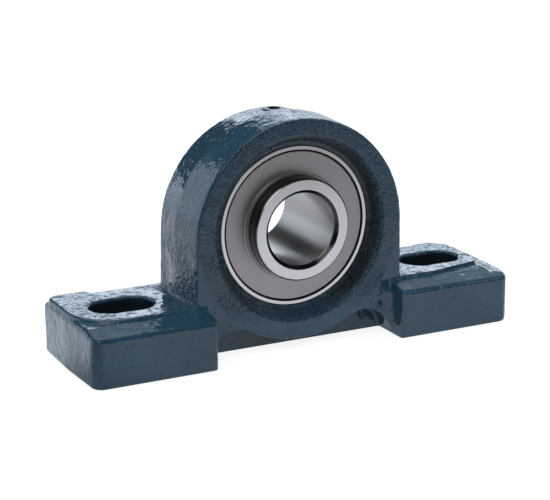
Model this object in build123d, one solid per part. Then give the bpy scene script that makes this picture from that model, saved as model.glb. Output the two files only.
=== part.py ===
from build123d import *
import math
import os

# Pillow block bearing for a 20 mm shaft: a cast housing whose spherical seat holds a
# self-aligning insert ball bearing. Sizes are in millimetres. X runs along the base, Z is
# up, and the shaft runs along Y, with the set screws on the +Y side. The origin is the
# middle of the base's underside.

# Housing: base and feet
shaft_height = 33.3
base_length = 127.0
base_depth = 38.0
feet_gap = 56.0
foot_end_bow = 0.6
foot_height = 14.8
foot_edge_height = 13.5
foot_slope_width = 6.6
foot_corner_r = 3.0
foot_inner_corner_r = 1.2
foot_root_r = 2.6
foot_top_r = 1.2
foot_bottom_r = 0.8

# Housing: raised pad round each bolt slot
pad_rise = 1.0
pad_front_step = 6.8
pad_back_step = 5.4
pad_end_step = 3.0
pad_notch_length = 3.5
pad_edge_r = 0.4
pad_corner_r_left = 12.0
pad_corner_r_right = 7.0

# Housing: bolt slots
slot_end_wall = 7.0
slot_arch_gap = 6.6
slot_width = 11.4
slot_rim_r = 0.3

# Housing: arch, with a parting ridge at y = 0 and draft towards both faces; each outline is
# round about its own centre, which lies a little under the shaft
arch_ridge_r = 31.9
arch_ridge_drop = 1.5
arch_front_r = 30.8
arch_front_drop = 0.7
arch_back_r = 30.9
arch_back_drop = 1.9
arch_depth = 24.0
arch_side_lean = 1.0
arch_rim_r = 0.7
arch_root_r = 2.5
arch_root_sink = 0.1

# Housing: web and the two pockets under the ring
web_thickness = 12.0
pocket_ring_r = 30.6
pocket_corner_r = 8.5

# Housing: spherical seat, its recesses and the slots through which the insert is turned in
seat_clearance = 0.06
seat_width = 18.0
recess_shoulder_r = 23.4
recess_step = 0.3
recess_mouth_r = 25.6
loading_clearance = 0.6

# Insert bearing: shaft bore, rings and balls
bore_d = 20.0
outside_sphere_d = 47.0
outer_ring_width = 16.0
inner_ring_width = 31.0
inner_ring_front = 12.7
inner_ring_d = 28.2
bore_chamfer = 1.05
inner_ring_chamfer = 0.45
ball_d = 7.938
ball_count = 8
ball_clearance = 0.03
raceway_conformity = 0.52
inner_groove_depth = 1.35
outer_groove_depth = 1.55
outer_ring_edge = 0.2
outer_face_width = 1.06
oil_groove_y = 4.5
oil_groove_width = 2.4
oil_groove_depth = 0.5
oil_hole_d = 1.8

# Insert bearing: cage pressed from sheet
cage_sheet = 0.7
cage_play = 0.12
cage_width = 2.8
rivet_d = 1.0
rivet_head_d = 1.8
rivet_head_height = 0.45

# Insert bearing: seals and flingers
seal_groove_depth = 0.46
seal_groove_width = 1.0
seal_face = 1.3
seal_core_sheet = 0.5
seal_lip_width = 2.1
seal_rubber = 0.6
seal_lip_play = 0.05
seal_rubber_margin = 2.5
flinger_sheet = 0.6
flinger_inset = 0.25
flinger_play = 0.5
flinger_bend_r = 1.2
flinger_rim = 0.3

# Set screws
screw_d = 6.0
screw_play = 0.07
screw_length = 5.2
screw_setback = 0.15
screw_end_gap = 4.8
screw_point_d = 3.6
screw_point_height = 0.9
screw_socket_across_flats = 3.0
screw_socket_depth = 2.4
screw_end_chamfer = 0.3
screw_angles = (90.0, 210.0)

# Flush grease fitting in the top of the arch
fitting_d = 6.0
fitting_length = 5.8
fitting_proud = 0.2
fitting_hole_bottom = 0.7
fitting_mouth_d = 3.6
fitting_mouth_depth = 1.0
fitting_orifice_d = 1.5
fitting_orifice_wall = 0.25
fitting_chamber_d = 2.5
fitting_crimp_d = 1.5
fitting_crimp_height = 0.6
check_ball_d = 2.1
check_ball_play = 0.03
spring_wire_d = 0.3
spring_coil_d = 1.6
spring_turns = 3.5
grease_passage_d = 2.5

# Values worked out from the ones above
sphere_r = outside_sphere_d / 2
seat_r = sphere_r + seat_clearance
bore_r = bore_d / 2
inner_ring_r = inner_ring_d / 2
inner_ring_back = inner_ring_width - inner_ring_front
ball_r = ball_d / 2
outer_half = outer_ring_width / 2
inner_groove_r = inner_ring_r - inner_groove_depth
pitch_r = inner_groove_r + ball_clearance + ball_r
outer_groove_r = pitch_r + ball_r + ball_clearance
outer_shoulder_r = outer_groove_r - outer_groove_depth
outer_face_r = math.sqrt(sphere_r ** 2 - outer_half ** 2)
outer_lip_r = outer_face_r - outer_face_width
seal_groove_r = outer_lip_r + seal_groove_depth
seal_core_inner_r = inner_ring_r + seal_lip_width
race_r = raceway_conformity * ball_d
cage_thickness = 2 * cage_sheet
seal_y = outer_half - seal_face
flinger_face_y = outer_half - flinger_inset
screw_y = inner_ring_back - screw_end_gap
arch_top = shaft_height - arch_ridge_drop + arch_ridge_r
arch_back_top = shaft_height - arch_back_drop + arch_back_r
fitting_top = arch_top + (arch_back_top - arch_top) * oil_groove_y / (arch_depth / 2) + fitting_proud
foot_half_depth = base_depth / 2
pad_height = foot_height + pad_rise
pad_front_y = pad_front_step - foot_half_depth
pad_back_y = foot_half_depth - pad_back_step
slot_inner_x = arch_ridge_r + slot_arch_gap
slot_outer_x = base_length / 2 - slot_end_wall
slot_x = (slot_inner_x + slot_outer_x) / 2
slot_length = slot_outer_x - slot_inner_x
pad_notch_x = slot_x + pad_notch_length

shaft_axis = Location((0, 0, shaft_height))


def both_sides(shape):
    """The shape and its mirror image on the other side of the parting plane."""
    return shape + mirror(shape, about=Plane.XZ)


def turned(outline):
    """A closed outline of (radius, y), turned round the shaft axis."""
    return shaft_axis * revolve(make_face(outline), Axis.Y)


def to_rear(shape):
    """A front piece of the insert, turned half a turn about the vertical to the rear side."""
    return Rotation(0, 0, 180) * shape


def foot_plan(side):
    """Outline of one foot from above; its end bows out to the parting line."""
    inner, end, edge = feet_gap / 2, base_length / 2 - foot_end_bow, foot_half_depth
    points = [(inner, -edge), (end, -edge), (base_length / 2, 0), (end, edge), (inner, edge)]
    plan = make_face(Polyline(*[(side * x, y) for x, y in points], close=True))
    corners = plan.vertices().filter_by(lambda v: abs(v.Y) > edge / 2 and abs(v.X) > (inner + end) / 2)
    return fillet(corners, foot_corner_r)


def foot_slope():
    """What comes off the feet's tops towards the front edge."""
    low_y, high_y = -foot_half_depth, foot_slope_width - foot_half_depth
    beyond = high_y - 2 * foot_slope_width
    run = (high_y - beyond) / (high_y - low_y)
    beyond_z = foot_height - run * (foot_height - foot_edge_height)
    side = Polyline((beyond, beyond_z), (high_y, foot_height), (beyond, foot_height), close=True)
    return extrude(Plane.YZ * make_face(side), base_length, both=True)


def foot(side):
    """One foot, with its top sloping down to the front and back edges and its outer edges rounded."""
    block = extrude(foot_plan(side), foot_height) - both_sides(foot_slope())
    slope_y = foot_half_depth - foot_slope_width

    def top_rim(edge):
        at = edge.center()
        outside = abs(at.X) > feet_gap / 2 + foot_top_r / 4
        on_break = abs(abs(at.Y) - slope_y) < 0.01 and edge.length > foot_half_depth
        upright = edge.vertices()[0].Z < foot_edge_height / 2 or edge.vertices()[-1].Z < foot_edge_height / 2
        return outside and at.Z > foot_edge_height / 2 and not on_break and not upright

    block = fillet(block.edges().filter_by(top_rim), foot_top_r)
    low_edges = block.faces().sort_by(Axis.Z)[0].edges()
    return fillet(low_edges.filter_by(lambda e: abs(e.center().X) > feet_gap / 2 + foot_top_r / 4), foot_bottom_r)


def inner_corner(side_x, side_y):
    """What comes off a foot's upright corner beside the arch to round it."""
    x, y = side_x * feet_gap / 2, side_y * foot_half_depth
    in_x, in_y = x + side_x * foot_inner_corner_r, y - side_y * foot_inner_corner_r
    share = 1 - math.cos(math.pi / 4)
    middle = (x + (in_x - x) * share, y + (in_y - y) * share)
    round_off = ThreePointArc((x, in_y), middle, (in_x, y))
    plan = make_face(Curve() + [round_off, Polyline((in_x, y), (x, y), (x, in_y))])
    return extrude(plan, pad_height)


def inner_root(side_x, side_y):
    """What fills the upright inner corner between a foot and the arch's face."""
    x, y = side_x * feet_gap / 2, side_y * arch_depth / 2
    out_x, out_y = x - side_x * foot_root_r, y + side_y * foot_root_r
    share = 1 - math.cos(math.pi / 4)
    middle = (x + (out_x - x) * share, y + (out_y - y) * share)
    plan = make_face(Curve() + [ThreePointArc((x, out_y), middle, (out_x, y)), Polyline((out_x, y), (x, y), (x, out_y))])
    return extrude(plan, foot_edge_height - foot_top_r)


def pad(side, corner_r):
    """Raised pad round one bolt slot; it reaches the foot's end."""
    inner, beyond = feet_gap / 2, base_length / 2 - foot_end_bow
    back = foot_half_depth - pad_end_step
    points = [
        (inner, pad_front_y), (beyond, pad_front_y), (beyond, back),
        (pad_notch_x, back), (pad_notch_x, pad_back_y), (inner, pad_back_y),
    ]
    plan = make_face(Polyline(*[(side * x, y) for x, y in points], close=True))
    front_corner = plan.vertices().filter_by(lambda v: v.Y < 0 and abs(v.X) > pad_notch_x)
    plan = fillet(front_corner, corner_r)
    back_corner = plan.vertices().filter_by(lambda v: v.Y > back - 0.01 and abs(v.X) > beyond - 0.01)
    plan = fillet(back_corner, foot_corner_r)
    notch = plan.vertices().filter_by(lambda v: v.Y > 0 and abs(abs(v.X) - pad_notch_x) < 0.01)
    plan = fillet(notch, (back - pad_back_y) / 2.2)
    raised = extrude(plan, pad_height)
    top = raised.faces().sort_by(Axis.Z)[-1]
    return fillet(top.edges().filter_by(lambda e: abs(e.center().X) > inner + 0.1), pad_edge_r)


def arch_outline(radius, drop, y):
    """Outline of the arch at one depth: round on top, leaning sides, and a hollow root on the feet."""
    lean = math.radians(arch_side_lean)
    centre_z = shaft_height - drop
    side_x = radius * math.cos(lean)
    side_z = centre_z + radius * math.sin(lean)
    toe_z = foot_height - arch_root_sink
    root_z = toe_z + arch_root_r
    root_x = side_x + (side_z - root_z) * math.tan(lean)
    toe_x = root_x + arch_root_r
    eighth = arch_root_r * (1 - math.cos(math.pi / 4))
    low_z = -foot_height / 2
    outline = [
        ThreePointArc((side_x, side_z), (0, centre_z + radius), (-side_x, side_z)),
        Line((-side_x, side_z), (-root_x, root_z)),
        ThreePointArc((-root_x, root_z), (-root_x - eighth, toe_z + eighth), (-toe_x, toe_z)),
        Polyline((-toe_x, toe_z), (-toe_x, low_z), (toe_x, low_z), (toe_x, toe_z)),
        ThreePointArc((toe_x, toe_z), (root_x + eighth, toe_z + eighth), (root_x, root_z)),
        Line((root_x, root_z), (side_x, side_z)),
    ]
    return Location((0, y, 0)) * (Plane.XZ * make_face(Curve() + outline))


def arch():
    """Both drafted halves of the arch, cut level with the underside."""
    half_depth = arch_depth / 2
    ridge = arch_outline(arch_ridge_r, arch_ridge_drop, 0)
    front = loft([ridge, arch_outline(arch_front_r, arch_front_drop, -half_depth)], ruled=True)
    back = loft([ridge, arch_outline(arch_back_r, arch_back_drop, half_depth)], ruled=True)

    def rounded(half, face):
        return fillet(half.faces().sort_by(Axis.Y)[face].edges().filter_by(lambda e: e.center().Z > 0), arch_rim_r)

    ground = Box(base_length, base_depth, base_depth, align=(Align.CENTER, Align.CENTER, Align.MAX))
    return rounded(front, 0) + rounded(back, -1) - ground


def pocket():
    """Space in front of the web: under the ring, and rounded against both feet."""
    wall_x = feet_gap / 2
    corner_x = wall_x - pocket_corner_r
    reach = pocket_ring_r + pocket_corner_r
    corner_z = shaft_height - math.sqrt(reach ** 2 - corner_x ** 2)
    share = pocket_ring_r / reach
    meet_x = corner_x * share
    meet_z = shaft_height + (corner_z - shaft_height) * share
    half_turn = math.atan2(meet_z - corner_z, meet_x - corner_x) / 2
    middle_x = corner_x + pocket_corner_r * math.cos(half_turn)
    middle_z = corner_z + pocket_corner_r * math.sin(half_turn)
    low_z = corner_z - pocket_corner_r
    outline = [
        ThreePointArc((wall_x, corner_z), (middle_x, middle_z), (meet_x, meet_z)),
        ThreePointArc((meet_x, meet_z), (0, shaft_height - pocket_ring_r), (-meet_x, meet_z)),
        ThreePointArc((-meet_x, meet_z), (-middle_x, middle_z), (-wall_x, corner_z)),
        Polyline((-wall_x, corner_z), (-wall_x, low_z), (wall_x, low_z), (wall_x, corner_z)),
    ]
    space = extrude(Plane.XZ * make_face(Curve() + outline), base_depth)
    return Location((0, -web_thickness / 2, 0)) * space


def seat_space():
    """What the insert leaves free: the spherical seat and a recess in front of each side."""
    half, face = seat_width / 2, arch_depth / 2
    mouth_r = math.sqrt(seat_r ** 2 - half ** 2)
    slope = (recess_mouth_r - recess_shoulder_r) / (face - half - recess_step)
    beyond = face + recess_step
    beyond_r = recess_mouth_r + slope * recess_step
    outline = [
        Polyline((0, -beyond), (beyond_r, -beyond), (recess_shoulder_r, -half - recess_step), (mouth_r, -half)),
        ThreePointArc((mouth_r, -half), (seat_r, 0), (mouth_r, half)),
        Polyline((mouth_r, half), (recess_shoulder_r, half + recess_step), (beyond_r, beyond), (0, beyond),
                 (0, -beyond)),
    ]
    return turned(Curve() + outline)


def loading_slots():
    """Two slots behind the seat, through which the insert goes in on edge before it is turned."""
    slab = Box(base_length, arch_depth, outer_ring_width + loading_clearance,
               align=(Align.CENTER, Align.MIN, Align.CENTER))
    drum = Rotation(90, 0, 0) * Cylinder(seat_r + seat_clearance, 2 * arch_depth)
    return shaft_axis * (slab & drum)


def bolt_slot(side):
    """Slot for one foundation bolt."""
    plan = SlotOverall(slot_length, slot_width)
    return Location((side * slot_x, 0, 0)) * extrude(plan, pad_height + pad_rise)


def grease_hole():
    """Hole for the grease fitting, with a narrow passage on to the seat."""
    above = Location((0, oil_groove_y, fitting_top + fitting_proud))
    hole = Cylinder(fitting_d / 2, fitting_length + fitting_hole_bottom + fitting_proud,
                    align=(Align.CENTER, Align.CENTER, Align.MAX))
    passage = Cylinder(grease_passage_d / 2, arch_ridge_r, align=(Align.CENTER, Align.CENTER, Align.MIN))
    return above * hole + Location((0, oil_groove_y, shaft_height)) * passage


def housing():
    """The casting, with its machined seat, bolt slots and grease hole."""
    body = arch() - both_sides(pocket()) + foot(1) + foot(-1)

    for side_x in (1, -1):
        for side_y in (1, -1):
            body = body - inner_corner(side_x, side_y) + (inner_root(side_x, side_y) - both_sides(pocket()))
    body = body + pad(1, pad_corner_r_right) + pad(-1, pad_corner_r_left)
    body = body - bolt_slot(1) - bolt_slot(-1)

    def slot_rim(edge):
        at = edge.center()
        from_middle = abs(abs(at.X) - slot_x)
        return abs(at.Z - pad_height) < 0.01 and from_middle < slot_length / 2 and abs(at.Y) <= slot_width / 2 + 0.01

    body = fillet(body.edges().filter_by(slot_rim), slot_rim_r)
    return body - seat_space() - loading_slots() - grease_hole()


def outer_ring():
    """Ring with a spherical outside, a ball groove, seal grooves, and an oil groove and hole."""
    centre_r = outer_groove_r - race_r
    groove_y = math.sqrt(race_r ** 2 - (outer_shoulder_r - centre_r) ** 2)
    inner_y = seal_y - seal_groove_width
    outline = [
        ThreePointArc((outer_face_r, outer_half), (sphere_r, 0), (outer_face_r, -outer_half)),
        Polyline(
            (outer_face_r, -outer_half), (outer_lip_r, -outer_half), (outer_lip_r, -seal_y),
            (seal_groove_r, -seal_y), (seal_groove_r, -inner_y), (outer_shoulder_r, -inner_y),
            (outer_shoulder_r, -groove_y),
        ),
        ThreePointArc((outer_shoulder_r, -groove_y), (outer_groove_r, 0), (outer_shoulder_r, groove_y)),
        Polyline(
            (outer_shoulder_r, groove_y), (outer_shoulder_r, inner_y), (seal_groove_r, inner_y),
            (seal_groove_r, seal_y), (outer_lip_r, seal_y), (outer_lip_r, outer_half), (outer_face_r, outer_half),
        ),
    ]
    ring = turned(Curve() + outline)
    outside = ring.edges().filter_by(lambda e: abs(abs(e.center().Y) - outer_half) < 0.01 and e.length > 6 * outer_face_r)
    ring = chamfer(outside, outer_ring_edge)
    groove_floor = math.sqrt(sphere_r ** 2 - oil_groove_y ** 2) - oil_groove_depth
    low, high = oil_groove_y - oil_groove_width / 2, oil_groove_y + oil_groove_width / 2
    oil_groove = turned(Polyline((groove_floor, low), (sphere_r, low), (sphere_r, high), (groove_floor, high), close=True))
    oil_hole = Location((0, oil_groove_y, shaft_height)) * Cylinder(
        oil_hole_d / 2, sphere_r, align=(Align.CENTER, Align.CENTER, Align.MIN))
    return ring - oil_groove - oil_hole


def inner_ring():
    """Wide ring with the shaft's bore, the ball groove and two tapped holes for set screws."""
    centre_r = inner_groove_r + race_r
    groove_y = math.sqrt(race_r ** 2 - (centre_r - inner_ring_r) ** 2)
    front, back = -inner_ring_front, inner_ring_back
    outline = [
        Polyline(
            (inner_ring_r, -groove_y), (inner_ring_r, front + inner_ring_chamfer),
            (inner_ring_r - inner_ring_chamfer, front), (bore_r + bore_chamfer, front),
            (bore_r, front + bore_chamfer), (bore_r, back - bore_chamfer), (bore_r + bore_chamfer, back),
            (inner_ring_r - inner_ring_chamfer, back), (inner_ring_r, back - inner_ring_chamfer),
            (inner_ring_r, groove_y),
        ),
        ThreePointArc((inner_ring_r, groove_y), (inner_groove_r, 0), (inner_ring_r, -groove_y)),
    ]
    ring = turned(Curve() + outline)
    for angle in screw_angles:
        ring = ring - screw_place(angle) * Cylinder(
            screw_d / 2, inner_ring_d, align=(Align.CENTER, Align.CENTER, Align.MIN))
    return ring


def screw_place(angle):
    """Where a set screw's axis starts, on the shaft axis, pointing outwards."""
    turn = math.radians(angle)
    outwards = (math.cos(turn), 0, math.sin(turn))
    return Location(Plane(origin=(0, screw_y, shaft_height), x_dir=(0, 1, 0), z_dir=outwards))


def set_screw(angle):
    """Socket set screw with a cone point, just clear of the shaft's bore."""
    tip = bore_r + screw_setback
    radius = screw_d / 2 - screw_play
    end = tip + screw_length
    outline = Polyline(
        (0, tip), (screw_point_d / 2, tip), (radius, tip + screw_point_height),
        (radius, end - screw_end_chamfer), (radius - screw_end_chamfer, end), (0, end), close=True)
    body = revolve(Plane.XZ * make_face(outline), Axis.Z)
    socket = extrude(RegularPolygon(screw_socket_across_flats / 2, 6, major_radius=False), -screw_socket_depth)
    return screw_place(angle) * (body - Location((0, 0, end)) * socket)


def ball_angles():
    """Angle of every ball round the shaft axis."""
    return [90.0 + number * 360.0 / ball_count for number in range(ball_count)]


def pitch_place(angle):
    """A place on the balls' pitch circle, with its Z axis pointing outwards."""
    turn = math.radians(angle)
    outwards = (math.cos(turn), 0, math.sin(turn))
    origin = (pitch_r * outwards[0], 0, shaft_height + pitch_r * outwards[2])
    return Location(Plane(origin=origin, x_dir=(0, 1, 0), z_dir=outwards))


def rivet_angles():
    """Angles halfway between the balls."""
    return [angle + 180.0 / ball_count for angle in ball_angles()]


def cage_half():
    """Front half of the pressed cage: a flat ribbon that bulges round every ball."""
    pocket_r = ball_r + cage_play
    shell_r = pocket_r + cage_sheet
    front = Location((-shell_r, 0, 0)) * Box(2 * shell_r, 4 * shell_r, 4 * shell_r)
    inner_r, outer_r = pitch_r - cage_width / 2, pitch_r + cage_width / 2
    band = turned(Polyline(
        (inner_r, 0), (outer_r, 0), (outer_r, -2 * shell_r), (inner_r, -2 * shell_r), close=True))
    half = turned(Polyline(
        (inner_r, 0), (outer_r, 0), (outer_r, -cage_sheet), (inner_r, -cage_sheet), close=True))
    for angle in ball_angles():
        half = half + (pitch_place(angle) * (Sphere(shell_r) & front) & band)
    for angle in ball_angles():
        half = half - pitch_place(angle) * Sphere(pocket_r)
    for angle in rivet_angles():
        half = half - rivet(angle, rivet_d, 2 * cage_thickness)
    return half


def rivet(angle, diameter, length):
    """A cylinder along the shaft's direction, halfway between two balls."""
    return pitch_place(angle) * (Rotation(0, 90, 0) * Cylinder(diameter / 2, length))


def cage_rivets():
    """Rivets with a head on each side that hold the cage's halves together."""
    rivets = []
    for angle in rivet_angles():
        shank = rivet(angle, rivet_d, cage_thickness + 2 * rivet_head_height)
        heads = rivet(angle, rivet_head_d, cage_thickness + 2 * rivet_head_height)
        heads = heads - rivet(angle, rivet_head_d, cage_thickness)
        rivets.append(shank + heads)
    return Compound(children=rivets)


def seal_core():
    """Steel washer that snaps into the outer ring's front seal groove."""
    outer_y, inner_y = -seal_y, -seal_y + seal_core_sheet
    return turned(Polyline(
        (seal_core_inner_r, outer_y), (seal_groove_r, outer_y), (seal_groove_r, inner_y),
        (seal_core_inner_r, inner_y), close=True))


def seal_lip():
    """Rubber bonded behind the washer, with a lip that runs on the inner ring."""
    back_y = -seal_y + seal_core_sheet
    lip_r = inner_ring_r + seal_lip_play
    rubber_r = seal_groove_r - seal_rubber_margin
    return turned(Polyline(
        (lip_r, -seal_y), (seal_core_inner_r, -seal_y), (seal_core_inner_r, back_y),
        (rubber_r, back_y), (rubber_r - seal_rubber, back_y + seal_rubber),
        (seal_core_inner_r, back_y + seal_rubber), (lip_r, back_y), close=True))


def flinger():
    """Steel disc pressed onto the inner ring in front of the seal."""
    rim_r = outer_lip_r - flinger_play
    face = -flinger_face_y
    inside = face + flinger_sheet
    collar_top = face - flinger_bend_r
    collar_r = inner_ring_r + flinger_sheet
    eighth = flinger_bend_r * math.cos(math.pi / 4)
    bend_middle = (collar_r + flinger_bend_r - eighth, collar_top + eighth)
    bend_end = (collar_r + flinger_bend_r, face)
    outline = [
        Polyline((inner_ring_r, inside), (inner_ring_r, collar_top), (collar_r, collar_top)),
        ThreePointArc((collar_r, collar_top), bend_middle, bend_end),
        Polyline(bend_end, (rim_r - flinger_rim, face), (rim_r, face + flinger_rim), (rim_r, inside),
                 (inner_ring_r, inside)),
    ]
    return turned(Curve() + outline)


fitting_place = Location((0, oil_groove_y, fitting_top))
orifice_bottom = -fitting_mouth_depth - fitting_orifice_wall
check_ball_z = orifice_bottom - math.sqrt((check_ball_d / 2) ** 2 - (fitting_orifice_d / 2) ** 2) - check_ball_play


def grease_fitting():
    """Flush fitting: a funnel on top, an orifice, and a chamber for the check ball's spring."""
    crimp_z = -fitting_length + fitting_crimp_height
    outline = Polyline(
        (fitting_d / 2, 0), (fitting_mouth_d / 2, 0), (fitting_orifice_d / 2, -fitting_mouth_depth),
        (fitting_orifice_d / 2, orifice_bottom), (fitting_chamber_d / 2, orifice_bottom),
        (fitting_chamber_d / 2, crimp_z), (fitting_crimp_d / 2, crimp_z),
        (fitting_crimp_d / 2, -fitting_length), (fitting_d / 2, -fitting_length), close=True)
    return fitting_place * revolve(Plane.XZ * make_face(outline), Axis.Z)


def grease_check_ball():
    """Ball that closes the orifice from inside."""
    return fitting_place * Location((0, 0, check_ball_z)) * Sphere(check_ball_d / 2)


def grease_spring():
    """Coil spring between the crimp and the check ball."""
    low = -fitting_length + fitting_crimp_height + spring_wire_d / 2
    coil_r = spring_coil_d / 2
    rest = math.sqrt((check_ball_d / 2 + spring_wire_d / 2) ** 2 - coil_r ** 2)
    high = check_ball_z - rest - check_ball_play
    path = Helix(pitch=(high - low) / spring_turns, height=high - low, radius=coil_r)
    section = Plane(origin=path @ 0, z_dir=path % 0) * Circle(spring_wire_d / 2)
    return fitting_place * Location((0, 0, low)) * sweep(section, path=path)


def write(name, shape):
    """Saves one piece under its own name."""
    shape.label = name
    export_step(shape, "parts/" + name + ".step")
    print(name, round(shape.volume, 2), shape.is_valid)


os.makedirs("parts", exist_ok=True)
front_cage, front_core, front_lip, front_disc = cage_half(), seal_core(), seal_lip(), flinger()
write("housing", housing())
write("outer_ring", outer_ring())
write("inner_ring", inner_ring())
for number, angle in enumerate(ball_angles(), 1):
    write("ball_" + str(number), pitch_place(angle) * Sphere(ball_r))
write("cage_front", front_cage)
write("cage_rear", to_rear(front_cage))
write("cage_rivets", cage_rivets())
write("front_seal_core", front_core)
write("rear_seal_core", to_rear(front_core))
write("front_seal_lip", front_lip)
write("rear_seal_lip", to_rear(front_lip))
write("front_flinger", front_disc)
write("rear_flinger", to_rear(front_disc))
for number, angle in enumerate(screw_angles, 1):
    write("set_screw_" + str(number), set_screw(angle))
write("grease_fitting", grease_fitting())
write("grease_check_ball", grease_check_ball())
write("grease_spring", grease_spring())
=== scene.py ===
"""Pillow block bearing: an enamelled casting that holds a self-aligning insert bearing."""
import math

import bmesh
import bpy
from mathutils import Matrix, Vector, noise


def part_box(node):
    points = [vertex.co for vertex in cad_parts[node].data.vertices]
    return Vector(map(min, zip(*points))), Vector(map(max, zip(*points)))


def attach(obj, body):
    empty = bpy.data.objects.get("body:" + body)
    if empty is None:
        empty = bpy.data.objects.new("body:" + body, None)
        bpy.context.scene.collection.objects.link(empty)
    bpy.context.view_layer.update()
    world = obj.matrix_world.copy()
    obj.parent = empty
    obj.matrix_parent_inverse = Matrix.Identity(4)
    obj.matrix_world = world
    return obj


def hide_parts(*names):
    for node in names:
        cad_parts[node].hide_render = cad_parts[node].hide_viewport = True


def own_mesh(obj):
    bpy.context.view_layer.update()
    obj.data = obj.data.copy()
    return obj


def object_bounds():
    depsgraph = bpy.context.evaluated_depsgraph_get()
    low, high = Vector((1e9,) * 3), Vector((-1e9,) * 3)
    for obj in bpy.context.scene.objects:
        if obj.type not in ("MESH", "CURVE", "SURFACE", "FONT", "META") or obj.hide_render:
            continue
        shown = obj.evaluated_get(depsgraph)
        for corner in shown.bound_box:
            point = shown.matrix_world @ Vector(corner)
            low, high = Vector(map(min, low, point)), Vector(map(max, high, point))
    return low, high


bl_info = {
    "name": "Pillow Block Bearing",
    "version": (1, 0, 0),
    "blender": (4, 5, 0),
    "location": "View3D > Sidebar > Pillow Block",
    "description": "Dresses a cast pillow block and its insert bearing, and sets a plain studio round it",
    "category": "Object",
}

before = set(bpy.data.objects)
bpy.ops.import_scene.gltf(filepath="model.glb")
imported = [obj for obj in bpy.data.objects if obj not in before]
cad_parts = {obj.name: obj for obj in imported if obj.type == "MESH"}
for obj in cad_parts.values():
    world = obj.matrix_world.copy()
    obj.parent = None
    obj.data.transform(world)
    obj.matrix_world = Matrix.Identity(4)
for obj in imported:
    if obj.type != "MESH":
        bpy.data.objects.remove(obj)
cad_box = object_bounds()

MM = 0.001
SHAFT_Z = sum(corner.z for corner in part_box("inner_ring")) / 2
TOP_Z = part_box("grease_fitting")[1].z
FITTING_Y = sum(corner.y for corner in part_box("grease_fitting")) / 2
SET_SCREWS = ("set_screw_1", "set_screw_2")

# The casting's seat, recess and passage, and how far tools reach beyond them, in millimetres
SEAT_R, SEAT_HALF, FACE_Y, BEYOND = 23.58, 7.7, 12.0, 1.0
RECESS_SHOULDER_R, RECESS_MOUTH_R, RECESS_STEP = 23.4, 25.6, 0.3
PLUG_R, PLUG_MIDDLE_R, PLUG_MIDDLE_HALF, PLUG_STEP, PLUG_SHORT = 26.3, 24.2, 9.0, 0.5, 0.4
PASSAGE_R, LOADING_HALF, LOADING_ROOM = 1.25, 8.3, 0.06

# Where the enamel's masks begin and are full, in millimetres; the shaded recess, the slots and the fitting's hole get
# painted shade, and the stipple's pits get painted shade, stronger on the left
ROOT_HEIGHT, ROOT_FOOT, ROOT_SIDE, ROOT_DEPTH = (42, 24), (12, 14.5), (34.5, 31.5), (11.7, 10.8)
RING_FACE_R, RING_FACE_DEPTH, RING_FACE_HEIGHT = (31, 29.6), (11, 11.8), (6, 15)
RECESS_R, SHADED_R, SHADED_SIDE, PIT_SHADE_SIDE = (26.4, 25.6), (25.5, 24.7), (2, 18), (-24, -4)
SLOT_X, SLOT_ALONG, SLOT_ACROSS, SLOT_HEIGHT = 47.5, (9.4, 9.2), (6.1, 5.9), (15.7, 14.6)
FITTING_R, FITTING_HEIGHT = (3.75, 3.45), (50, 52)

# The inner ring's bands, by radius and the last by depth, in millimetres: a honed bore, and a chamfer and an outside
# in front painted with shade
BORE_BAND, CHAMFER_BAND, OUTSIDE_BAND, FRONT_BAND = (10.1, 10.04), (10.98, 10.92), (13.76, 13.84), (0, -2)

# The studio as reflections see it: from, to, and the brightness at both
FRONT_FLOOR_Y, FRONT_FLOOR_X = (-0.24, -0.09, 0.1, 1.0), (-0.09, -0.03, 0.08, 1.0)
BACK_FLOOR_START, BACK_FLOOR_END = (-0.02, 0.02), (0.03, 0.09, 1.0, 0.6)
RIGHT_PANEL_HEIGHTS = ((0.17, 0.26, 0.2, 0.9), (0.28, 0.42, 1.0, 0.2), (0.8, 0.7))
RIGHT_PANEL_SIDE, LEFT_PANEL_SIDE = (0.19, 0.27), (-0.35, -0.45)
LEFT_PANEL_HEIGHT, LOW_STRIP_HEIGHT = (0.5, 0.45, 0.0, 0.38), (0.12, 0.06, 0.0, 0.41)
LEAST_SHINE = 0.06

# Lamps: name, place, size and share of the key lamp's power
LAMPS = (("key_panel", (-0.45, -0.55, 0.75), 0.6, 1.0),
         ("fill_panel", (0.7, -0.5, 0.5), 0.5, 0.35),
         ("top_panel", (0.0, 0.35, 0.9), 0.7, 0.8))
LAMP_AIM = (0, 0, 0.02)


# Sizes and colours that a user would change

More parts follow.
